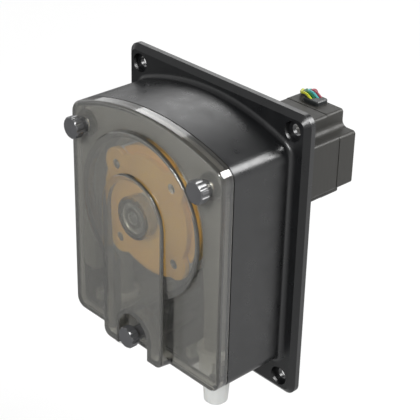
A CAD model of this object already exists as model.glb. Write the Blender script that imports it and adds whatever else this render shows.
"""Looks for the panel-mounted peristaltic pump head: finishes, free leads, light and camera."""

import math

import bpy
import numpy as np
from mathutils import Matrix


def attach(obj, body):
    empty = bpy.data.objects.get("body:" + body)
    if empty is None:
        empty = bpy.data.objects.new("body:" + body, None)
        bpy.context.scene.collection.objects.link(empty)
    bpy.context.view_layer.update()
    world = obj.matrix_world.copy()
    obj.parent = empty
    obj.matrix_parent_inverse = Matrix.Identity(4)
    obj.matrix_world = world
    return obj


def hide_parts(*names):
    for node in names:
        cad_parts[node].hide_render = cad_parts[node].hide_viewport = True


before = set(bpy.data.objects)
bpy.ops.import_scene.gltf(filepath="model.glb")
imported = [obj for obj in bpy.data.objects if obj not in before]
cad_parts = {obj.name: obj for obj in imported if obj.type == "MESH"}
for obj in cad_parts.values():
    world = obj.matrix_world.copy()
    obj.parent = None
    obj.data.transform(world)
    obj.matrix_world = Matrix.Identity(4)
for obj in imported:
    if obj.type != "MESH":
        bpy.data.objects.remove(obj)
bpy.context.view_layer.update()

MM = 0.001
ROTOR_Z = 21.0 * MM
MOTOR_REAR = 86.4 * MM
MOTOR_TOP = 49.2 * MM


# Shader helpers

WAVE_RADIANS = 20  # turned by the wave texture over one unit, at scale 1


def shader(name):
    """New material with its tree, and its main shader."""
    material = bpy.data.materials.new(name)
    material.use_nodes = True
    tree = material.node_tree
    return material, tree, tree.nodes["Principled BSDF"]


def add(tree, kind, **values):
    """New node of a kind, with inputs set by name and other values as properties."""
    node = tree.nodes.new(kind)
    for key, value in values.items():
        if key in node.inputs:
            node.inputs[key].default_value = value
        else:
            setattr(node, key, value)
    return node


def place(tree, scale=(1, 1, 1), shift=(0, 0, 0)):
    """Object coordinates, moved and stretched."""
    coordinates = add(tree, "ShaderNodeTexCoord")
    mapping = add(tree, "ShaderNodeMapping", Scale=scale, Location=shift)
    tree.links.new(coordinates.outputs["Object"], mapping.inputs["Vector"])
    return mapping.outputs["Vector"]


def noise(tree, vector, scale, detail=2.0, rough=0.5):
    """Smooth noise value on a vector."""
    node = add(tree, "ShaderNodeTexNoise", Scale=scale, Detail=detail, Roughness=rough)
    tree.links.new(vector, node.inputs["Vector"])
    return node.outputs["Fac"]


def rings_or_bands(tree, vector, radian, distortion, detail, **direction):
    """Even waves on a vector, with the length of one radian of a wave."""
    scale = 1 / radian / WAVE_RADIANS
    node = add(tree, "ShaderNodeTexWave", Scale=scale, Distortion=distortion, Detail=detail, **direction)
    tree.links.new(vector, node.inputs["Vector"])
    return node.outputs["Fac"]


def spread(tree, value, low, high, start=0.3, end=0.7):
    """A value carried from one range to another, clamped."""
    node = add(tree, "ShaderNodeMapRange")
    node.inputs["From Min"].default_value = start
    node.inputs["From Max"].default_value = end
    node.inputs["To Min"].default_value = low
    node.inputs["To Max"].default_value = high
    tree.links.new(value, node.inputs["Value"])
    return node.outputs["Result"]


def combine(tree, operation, *values):
    """One operation on values, each of them a socket or a number."""
    node = add(tree, "ShaderNodeMath", operation=operation)
    for socket, value in zip(node.inputs, values):
        if isinstance(value, float):
            socket.default_value = value
        else:
            tree.links.new(value, socket)
    return node.outputs[0]


def part_of(tree, vector, axis):
    """One axis of a vector."""
    node = add(tree, "ShaderNodeSeparateXYZ")
    tree.links.new(vector, node.inputs[0])
    return node.outputs[axis]


def blend(tree, share, first, second):
    """Mix of two shaders by a share, on the surface of the material."""
    node = add(tree, "ShaderNodeMixShader")
    for socket, value in zip(node.inputs, (share, first, second)):
        tree.links.new(value, socket)
    tree.links.new(node.outputs["Shader"], tree.nodes["Material Output"].inputs["Surface"])


def shade_between(tree, bsdf, value, dark, light):
    """Surface colour that drifts between two, by a value."""
    node = add(tree, "ShaderNodeMix", data_type="RGBA")
    node.inputs[6].default_value = (*dark, 1)
    node.inputs[7].default_value = (*light, 1)
    tree.links.new(spread(tree, value, 0, 1), node.inputs[0])
    tree.links.new(node.outputs[2], bsdf.inputs["Base Color"])


def roughen(tree, bsdf, value, smooth, dull):
    """Roughness that drifts between two levels, by a value."""
    tree.links.new(spread(tree, value, smooth, dull), bsdf.inputs["Roughness"])


def relief(tree, bsdf, value, depth):
    """Bump from a height value."""
    node = add(tree, "ShaderNodeBump", Distance=depth, Strength=1.0)
    tree.links.new(value, node.inputs["Height"])
    tree.links.new(node.outputs["Normal"], bsdf.inputs["Normal"])


def scaled(colour, factor):
    """A colour, lighter or darker by a factor, and never over white."""
    return tuple(min(1.0, c * factor) for c in colour)


# Finishes

def moulded(name, colour, rough, grain=2600.0, depth=0.02 * MM, shade=0.12, ior=1.5):
    """Moulded plastic: faint mottling, uneven sheen and a fine sparked grain."""
    material, tree, bsdf = shader(name)
    bsdf.inputs["IOR"].default_value = ior
    vector = place(tree)
    mottling = noise(tree, vector, 34.0, 3.0)
    shade_between(tree, bsdf, mottling, scaled(colour, 1 - shade), scaled(colour, 1 + shade))
    roughen(tree, bsdf, noise(tree, vector, 120.0), rough - 0.05, rough + 0.05)
    relief(tree, bsdf, noise(tree, vector, grain, 2.0, 0.6), depth)
    return material


def turned(name, colour, rough, centre=(0, 0), radian=0.35 * MM, depth=0.004 * MM):
    """Machined metal: fine rings about an axis along Y, and uneven shine."""
    material, tree, bsdf = shader(name)
    bsdf.inputs["Metallic"].default_value = 1.0
    vector = place(tree, shift=(-centre[0], 0, -centre[1]))
    cloud = noise(tree, vector, 260.0, 3.0)
    shade_between(tree, bsdf, cloud, scaled(colour, 0.82), colour)
    roughen(tree, bsdf, cloud, rough - 0.06, rough + 0.08)
    rings = rings_or_bands(tree, vector, radian, 0.6, 2.0, wave_type="RINGS", rings_direction="Y")
    relief(tree, bsdf, rings, depth)
    return material


def cast(name, colour, rough, grain=900.0, depth=0.04 * MM):
    """Painted casting: pebbled skin with a soft sheen."""
    material, tree, bsdf = shader(name)
    bsdf.inputs["Metallic"].default_value = 0.2
    vector = place(tree)
    cloud = noise(tree, vector, 60.0, 3.0)
    shade_between(tree, bsdf, cloud, scaled(colour, 0.8), colour)
    roughen(tree, bsdf, cloud, rough - 0.06, rough + 0.06)
    relief(tree, bsdf, noise(tree, vector, grain, 3.0, 0.6), depth)
    return material


def laminated(name, colour, rough, radian=0.5 * MM, depth=0.006 * MM):
    """Painted stack of steel sheets along Y: soft bands, and streaks that run along the sheets."""
    material, tree, bsdf = shader(name)
    bsdf.inputs["Metallic"].default_value = 0.2
    streak = noise(tree, place(tree, scale=(0.4, 60.0, 0.4)), 50.0)
    shade_between(tree, bsdf, streak, scaled(colour, 0.7), colour)
    roughen(tree, bsdf, streak, rough - 0.08, rough + 0.08)
    bands = rings_or_bands(tree, place(tree), radian, 0.4, 1.0, wave_type="BANDS", bands_direction="Y")
    relief(tree, bsdf, bands, depth)
    return material


def milky(name, colour, rough, light_depth):
    """Natural plastic or rubber that lets light a little way in."""
    material, tree, bsdf = shader(name)
    bsdf.inputs["Subsurface Weight"].default_value = 0.5
    bsdf.inputs["Subsurface Radius"].default_value = (1.0, 0.9, 0.8)
    bsdf.inputs["Subsurface Scale"].default_value = light_depth
    vector = place(tree)
    cloud = noise(tree, vector, 50.0)
    shade_between(tree, bsdf, cloud, scaled(colour, 0.93), colour)
    roughen(tree, bsdf, cloud, rough - 0.05, rough + 0.05)
    relief(tree, bsdf, noise(tree, vector, 1500.0), 0.01 * MM)
    return material


def clearness(tree, vector, haze_low, haze_high, heights):
    """Share of light that passes: less on faces square to Y, where a haze drifts with height."""
    haze = spread(tree, part_of(tree, vector, "Z"), haze_low, haze_high, *heights)
    normal = add(tree, "ShaderNodeNewGeometry").outputs["Normal"]
    square_to_y = combine(tree, "ABSOLUTE", part_of(tree, normal, "Y"))
    on_front = spread(tree, square_to_y, 0.1, 1.0, 0.5, 0.95)
    return combine(tree, "SUBTRACT", 1.0, combine(tree, "MULTIPLY", haze, on_front))


def smoked(name, body, density, shadow, haze_low, haze_high, heights):
    """Clear moulded plastic under a polished skin, with a pale shadow.

    Its front is etched and a little hazier towards its top, its flanks are clear,
    and it darkens along the way through the wall.
    """
    material, tree, bsdf = shader(name)
    bsdf.inputs["IOR"].default_value = 1.5
    bsdf.inputs["Base Color"].default_value = (0.90, 0.90, 0.86, 1)
    bsdf.inputs["Coat Weight"].default_value = 1.0
    bsdf.inputs["Coat Roughness"].default_value = 0.03
    bsdf.inputs["Coat IOR"].default_value = 1.5
    vector = place(tree)
    clear = clearness(tree, vector, haze_low, haze_high, heights)
    tree.links.new(clear, bsdf.inputs["Transmission Weight"])
    roughen(tree, bsdf, noise(tree, vector, 90.0), 0.07, 0.11)
    relief(tree, bsdf, noise(tree, vector, 45.0, 1.0), 0.03 * MM)
    absorption = add(tree, "ShaderNodeVolumeAbsorption", Color=(*body, 1), Density=density)
    tree.links.new(absorption.outputs["Volume"], tree.nodes["Material Output"].inputs["Volume"])
    shadow_ray = add(tree, "ShaderNodeLightPath").outputs["Is Shadow Ray"]
    pale = add(tree, "ShaderNodeBsdfTransparent", Color=(*shadow, 1))
    blend(tree, shadow_ray, bsdf.outputs["BSDF"], pale.outputs["BSDF"])
    return material


def dress(material, *nodes):
    """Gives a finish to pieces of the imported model."""
    for node in nodes:
        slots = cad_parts[node].data.materials
        slots.clear()
        slots.append(material)


# Housing and cover

dress(moulded("satin_charcoal_plastic", (0.0068, 0.0072, 0.0080), 0.31, ior=1.60), "casing")
dress(
    moulded("inner_plastic", (0.20, 0.20, 0.19), 0.5),
    "track", "connector_seat_left", "connector_seat_right",
)
dress(
    moulded("black_rubber", (0.018, 0.018, 0.018), 0.62, 1800.0, 0.03 * MM),
    "panel_gasket", "cover_seal", "shaft_seal",
)
dress(
    smoked(
        "smoked_clear_plastic", body=(0.40, 0.38, 0.33), density=200.0, shadow=(0.90, 0.89, 0.87),
        haze_low=0.10, haze_high=0.12, heights=(-30 * MM, 40 * MM),
    ),
    "front_cover",
)
dress(turned("turned_brass", (0.78, 0.58, 0.26), 0.28), "threaded_inserts")

# Rotor, shaft and bearings

STEEL_COLOUR = (0.62, 0.62, 0.61)
STEEL_ROUGH = 0.24
ROTOR_AXIS = (0, ROTOR_Z)

dress(
    moulded("orange_nylon", (1.0, 0.56, 0.10), 0.38, 1400.0, shade=0.1),
    "rotor_front_plate", "rotor_rear_plate", "rotor_hub",
)
dress(
    turned("turned_steel", STEEL_COLOUR, STEEL_ROUGH, ROTOR_AXIS),
    "drive_shaft", "motor_shaft", "roller_pins",
)
dress(moulded("zinc_plate", (0.50, 0.50, 0.42), 0.4), "rotor_screws")
dress(
    turned("ground_bearing_steel", (0.80, 0.79, 0.76), 0.42, ROTOR_AXIS, radian=0.5 * MM),
    "front_bearing_outer", "front_bearing_inner", "rear_bearing_outer", "rear_bearing_inner",
)
roller_white = milky("white_acetal", (0.82, 0.81, 0.78), 0.32, 0.6 * MM)
bronze = turned("sintered_bronze", (0.52, 0.36, 0.17), 0.42)
for k in range(1, 5):
    dress(roller_white, f"roller_{k}")
    dress(bronze, f"roller_bushes_{k}")

# Thumbscrews, each with its rings about its own axis

SCREW_AXES = {
    "top_left": (-51.3 * MM, 58.1 * MM),
    "top_right": (51.3 * MM, 58.1 * MM),
    "foot": (0.0, -55.4 * MM),
}
knob_black = moulded("polished_black_plastic", (0.078, 0.079, 0.083), 0.18, 500.0, 0.006 * MM, ior=1.8)
for screw, axis in SCREW_AXES.items():
    dress(knob_black, f"thumbscrew_head_{screw}")
    stud_steel = turned(f"stud_steel_{screw}", STEEL_COLOUR, STEEL_ROUGH, axis)
    dress(stud_steel, f"thumbscrew_stud_{screw}", f"thumbscrew_washer_{screw}")

# Tube, connectors and motor

dress(milky("grey_tube_rubber", (0.24, 0.235, 0.22), 0.45, 2.0 * MM), "pump_tube")
dress(
    milky("natural_white_plastic", (0.62, 0.63, 0.615), 0.36, 1.2 * MM),
    "tube_connector_left", "tube_connector_right",
)
dress(turned("milled_aluminium", (0.72, 0.72, 0.73), 0.3), "motor_plate")
dress(
    cast("black_painted_casting", (0.034, 0.033, 0.029), 0.48),
    "motor_front_bell", "motor_rear_bell",
)
dress(laminated("black_sheet_stack", (0.036, 0.035, 0.031), 0.48), "motor_stator")
dress(
    cast("black_oxide_steel", (0.06, 0.06, 0.06), 0.35, 1800.0, 0.01 * MM),
    "motor_screws", "motor_mount_screws",
)
dress(moulded("lead_block_plastic", (0.016, 0.019, 0.019), 0.4), "lead_block")


# Free leads

LEADS = (
    ("yellow", (0.46, 0.48, 0.03)),
    ("green", (0.01, 0.12, 0.04)),
    ("cyan", (0.07, 0.36, 0.36)),
    ("red", (0.30, 0.06, 0.08)),
)
LEAD_RADIUS = 0.8 * MM
BLOCK_X = -1.0 * MM
BLOCK_Y = MOTOR_REAR - 5.8 * MM
EXIT_HEIGHT = 1.6 * MM
# Each bend in mm: across from the block and more of it from lead to lead,
# behind the motor's rear and more of it from lead to lead, above the motor's top
BENDS = np.array([
    (-4.4, 0.8, -5.0, 2.1, 5.0),
    (-10.8, 0.6, -3.8, 2.35, 2.6),
    (-13.8, 2.2, 4.8, 1.5, 1.2),
    (-14.6, 2.2, 5.5, 2.1, -6.8),
]) * MM
COIL_CENTRE = (-6.0 * MM, MOTOR_REAR + 4.7 * MM, 15.0 * MM)
COIL_RADIUS = 16.4 * MM
COIL_TURNS = 2.4
COIL_START = math.radians(150)
COIL_STEP = 1.75 * MM
COIL_PITCH = 1.95 * MM
POINTS_PER_TURN = 12


def lead_points(k):
    """Out of the block, over the motor's rear edge, then a spiral: its radius grows by one lead a turn."""
    side = k - (len(LEADS) - 1) / 2
    start = [(BLOCK_X + (1.2 + 0.9 * side) * MM, BLOCK_Y + 2.0 * side * MM, MOTOR_TOP + EXIT_HEIGHT)]
    across, more_across, behind, more_behind, above = BENDS.T
    bends = np.stack([
        BLOCK_X + across + more_across * side,
        MOTOR_REAR + behind + more_behind * side,
        MOTOR_TOP + above,
    ], 1)
    angle = COIL_START + np.linspace(0, 2 * np.pi * COIL_TURNS, round(POINTS_PER_TURN * COIL_TURNS) + 1)
    radius = COIL_RADIUS + COIL_STEP * ((angle - COIL_START) / (2 * np.pi) - COIL_TURNS / 2)
    x, y, z = COIL_CENTRE
    turns = np.stack([
        x + radius * np.cos(angle),
        np.full_like(angle, y + COIL_PITCH * side),
        z + radius * np.sin(angle),
    ], 1)
    return np.concatenate([start, bends, turns])


def free_lead(k, name, colour):
    """One lead as a smooth line with a round section."""
    points = lead_points(k)
    curve = bpy.data.curves.new(f"lead_wire_{name}", "CURVE")
    curve.dimensions = "3D"
    curve.bevel_depth = LEAD_RADIUS
    curve.bevel_resolution = 4
    curve.resolution_u = 8
    curve.use_fill_caps = True
    spline = curve.splines.new("NURBS")
    spline.points.add(len(points) - 1)
    spline.points.foreach_set("co", np.concatenate([points, np.ones((len(points), 1))], 1).ravel())
    spline.order_u = 3
    spline.use_endpoint_u = True
    wire = bpy.data.objects.new(f"lead_wire_{name}", curve)
    bpy.context.scene.collection.objects.link(wire)
    curve.materials.append(moulded(f"{name}_lead_sheath", colour, 0.3, 900.0, 0.01 * MM))
    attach(wire, "housing")
    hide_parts(f"lead_{name}", "lead_hank")


def rounded(angle, corner):
    """Unit rounded square: the cosine and sine of an angle, each raised to a power that keeps its sign."""
    across, up = np.cos(angle), np.sin(angle)
    return np.sign(across) * np.abs(across) ** corner, np.sign(up) * np.abs(up) ** corner


def signed_volume(mesh):
    """Volume inside a closed mesh, negative where its faces point inwards."""
    mesh.calc_loop_triangles()
    points = np.empty(len(mesh.vertices) * 3, np.float32)
    corners = np.empty(len(mesh.loop_triangles) * 3, np.int32)
    mesh.vertices.foreach_get("co", points)
    mesh.loop_triangles.foreach_get("vertices", corners)
    first, second, third = points.reshape(-1, 3)[corners.reshape(-1, 3)].transpose(1, 0, 2)
    return np.einsum("ij,ij->i", first, np.cross(second, third)).sum() / 6


def lead_tie(half_width, half_height, strap_width, strap_thickness):
    """Strap round the coil at its lowest point.

    Its middle line is a rounded rectangle across the bundle. Its section is a flat
    rounded rectangle, wide along the bundle and thin along the line's outward direction.
    """
    around = np.linspace(0, 2 * np.pi, 96, endpoint=False)
    section = np.linspace(0, 2 * np.pi, 16, endpoint=False)
    across, up = rounded(around, 1 / 3)
    out_across, out_up = np.cos(around), np.sin(around)
    along, off = rounded(section, 0.4)
    x, y, z = COIL_CENTRE
    rows, columns = len(around), len(section)
    grid = np.empty((rows, columns, 3))
    grid[..., 0] = x + along[None, :] * strap_width / 2
    thick = off[None, :] * strap_thickness / 2
    grid[..., 1] = y + across[:, None] * half_width + out_across[:, None] * thick
    grid[..., 2] = z - COIL_RADIUS + up[:, None] * half_height + out_up[:, None] * thick
    index = np.arange(rows * columns).reshape(rows, columns)
    ahead, aside = np.roll(index, -1, 0), np.roll(index, -1, 1)
    corner = np.roll(ahead, -1, 1)
    faces = np.stack([index, aside, corner, ahead], -1).reshape(-1, 4)
    mesh = bpy.data.meshes.new("lead_tie")
    mesh.from_pydata(grid.reshape(-1, 3).tolist(), [], faces.tolist())
    if signed_volume(mesh) < 0:
        mesh.flip_normals()
    mesh.shade_smooth()
    mesh.materials.append(moulded("tie_nylon", (0.03, 0.03, 0.03), 0.4, 1200.0, 0.01 * MM))
    strap = bpy.data.objects.new("lead_tie", mesh)
    bpy.context.scene.collection.objects.link(strap)
    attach(strap, "housing")


for k, (name, colour) in enumerate(LEADS):
    free_lead(k, name, colour)
lead_tie(half_width=4.1 * MM, half_height=3.1 * MM, strap_width=2.4 * MM, strap_thickness=0.6 * MM)


# Light, floor and room

FLOOR_HALF = 4.0
FLOOR_LEVEL = -0.16
FLOOR_WHITE = 1.04
FLOOR_WHITE_SHARE = 0.85
SKY_LIGHT = 0.32


def mirrored_ray(tree, path):
    """One for a ray that comes by gloss or through glass."""
    return combine(tree, "MAXIMUM", path.outputs["Is Glossy Ray"], path.outputs["Is Transmission Ray"])


def pale_ground():
    """Pale floor, white to the eye and softly shaded.

    In gloss and glass it is brighter behind the part, towards +X and +Y, than before it.
    """
    material, tree, bsdf = shader("pale_ground")
    bsdf.inputs["Base Color"].default_value = (0.86, 0.86, 0.86, 1)
    bsdf.inputs["Roughness"].default_value = 0.9
    path = add(tree, "ShaderNodeLightPath")
    seen = path.outputs["Is Camera Ray"]
    share = combine(
        tree, "MAXIMUM", combine(tree, "MULTIPLY", seen, FLOOR_WHITE_SHARE), mirrored_ray(tree, path),
    )
    turn = add(tree, "ShaderNodeMapping", Rotation=(0, 0, -math.radians(45)))
    tree.links.new(add(tree, "ShaderNodeTexCoord").outputs["Object"], turn.inputs["Vector"])
    behind = part_of(tree, turn.outputs["Vector"], "X")
    mirrored = spread(tree, behind, 0.18, 0.95, -0.18, 0.22)
    glow = add(tree, "ShaderNodeEmission", Color=(1, 1, 1, 1))
    strength = combine(tree, "MAXIMUM", mirrored, combine(tree, "MULTIPLY", seen, FLOOR_WHITE))
    tree.links.new(strength, glow.inputs["Strength"])
    blend(tree, share, bsdf.outputs["BSDF"], glow.outputs["Emission"])
    return material


def floor():
    """Flat square of ground under the part."""
    mesh = bpy.data.meshes.new("ground")
    corners = [(-1, -1), (1, -1), (1, 1), (-1, 1)]
    mesh.from_pydata([(x * FLOOR_HALF, y * FLOOR_HALF, FLOOR_LEVEL) for x, y in corners], [], [(0, 1, 2, 3)])
    mesh.materials.append(pale_ground())
    ground = bpy.data.objects.new("ground", mesh)
    bpy.context.scene.collection.objects.link(ground)


def pale_room():
    """Room that is white to the eye and, in gloss and glass, bright near the floor and dim overhead."""
    world = bpy.data.worlds.new("studio_world")
    bpy.context.scene.world = world
    world.use_nodes = True
    tree = world.node_tree
    path = add(tree, "ShaderNodeLightPath")
    direction = add(tree, "ShaderNodeTexCoord").outputs["Generated"]
    light = add(tree, "ShaderNodeMix", data_type="FLOAT")
    tree.links.new(mirrored_ray(tree, path), light.inputs[0])
    light.inputs[2].default_value = SKY_LIGHT
    tree.links.new(spread(tree, part_of(tree, direction, "Z"), 0.85, 0.22, 0.0, 0.8), light.inputs[3])
    strength = combine(tree, "MAXIMUM", light.outputs[0], path.outputs["Is Camera Ray"])
    background = tree.nodes["Background"]
    background.inputs["Color"].default_value = (1, 1, 1, 1)
    tree.links.new(strength, background.inputs["Strength"])


def aim(position):
    """Turn that points an object's -Z from a position at the origin, with its X level."""
    back = np.array(position) / np.linalg.norm(position)
    right = np.cross((0, 0, 1), back)
    right = right / np.linalg.norm(right)
    up = np.cross(back, right)
    return Matrix(np.stack([right, up, back], 1).tolist()).to_4x4()


def lamp(name, position, size, watts):
    """Soft rectangular lamp that faces the part."""
    light = bpy.data.lights.new(name, "AREA")
    light.shape = "RECTANGLE"
    light.size, light.size_y = size
    light.energy = watts
    holder = bpy.data.objects.new(name, light)
    bpy.context.scene.collection.objects.link(holder)
    holder.matrix_world = Matrix.Translation(position) @ aim(position)


floor()
pale_room()
lamp("back_right_softbox", (0.55, 0.70, 0.75), (0.60, 0.60), 14.0)
lamp("front_softbox", (0.35, -1.05, 0.75), (0.5, 0.4), 11.0)
lamp("back_left_softbox", (-0.75, 0.80, 0.74), (0.7, 0.5), 2.2)


# Camera

EYE = (0.4799, -0.4651, 0.3679)
AZIMUTH, ELEVATION, ROLL = math.radians(46.55), math.radians(28.42), math.radians(1.36)
FOCAL_LENGTH = 111.145714
LENS_SHIFT = (0.01119048, -0.01166667)


def camera():
    """Long lens from the upper right in front."""
    back = np.array([
        math.sin(AZIMUTH) * math.cos(ELEVATION),
        -math.cos(AZIMUTH) * math.cos(ELEVATION),
        math.sin(ELEVATION),
    ])
    level = np.array([math.cos(AZIMUTH), math.sin(AZIMUTH), 0.0])
    upward = np.cross(back, level)
    right = level * math.cos(ROLL) + upward * math.sin(ROLL)
    up = upward * math.cos(ROLL) - level * math.sin(ROLL)
    lens = bpy.data.cameras.new("view")
    lens.sensor_width = 36.0
    lens.lens = FOCAL_LENGTH
    lens.shift_x, lens.shift_y = LENS_SHIFT
    lens.clip_start, lens.clip_end = 0.01, 20.0
    eye = bpy.data.objects.new("view", lens)
    bpy.context.scene.collection.objects.link(eye)
    turn = Matrix(np.stack([right, up, back], 1).tolist()).to_4x4()
    eye.matrix_world = Matrix.Translation(EYE) @ turn
    bpy.context.scene.camera = eye


camera()
bpy.context.scene.view_settings.view_transform = "Standard"
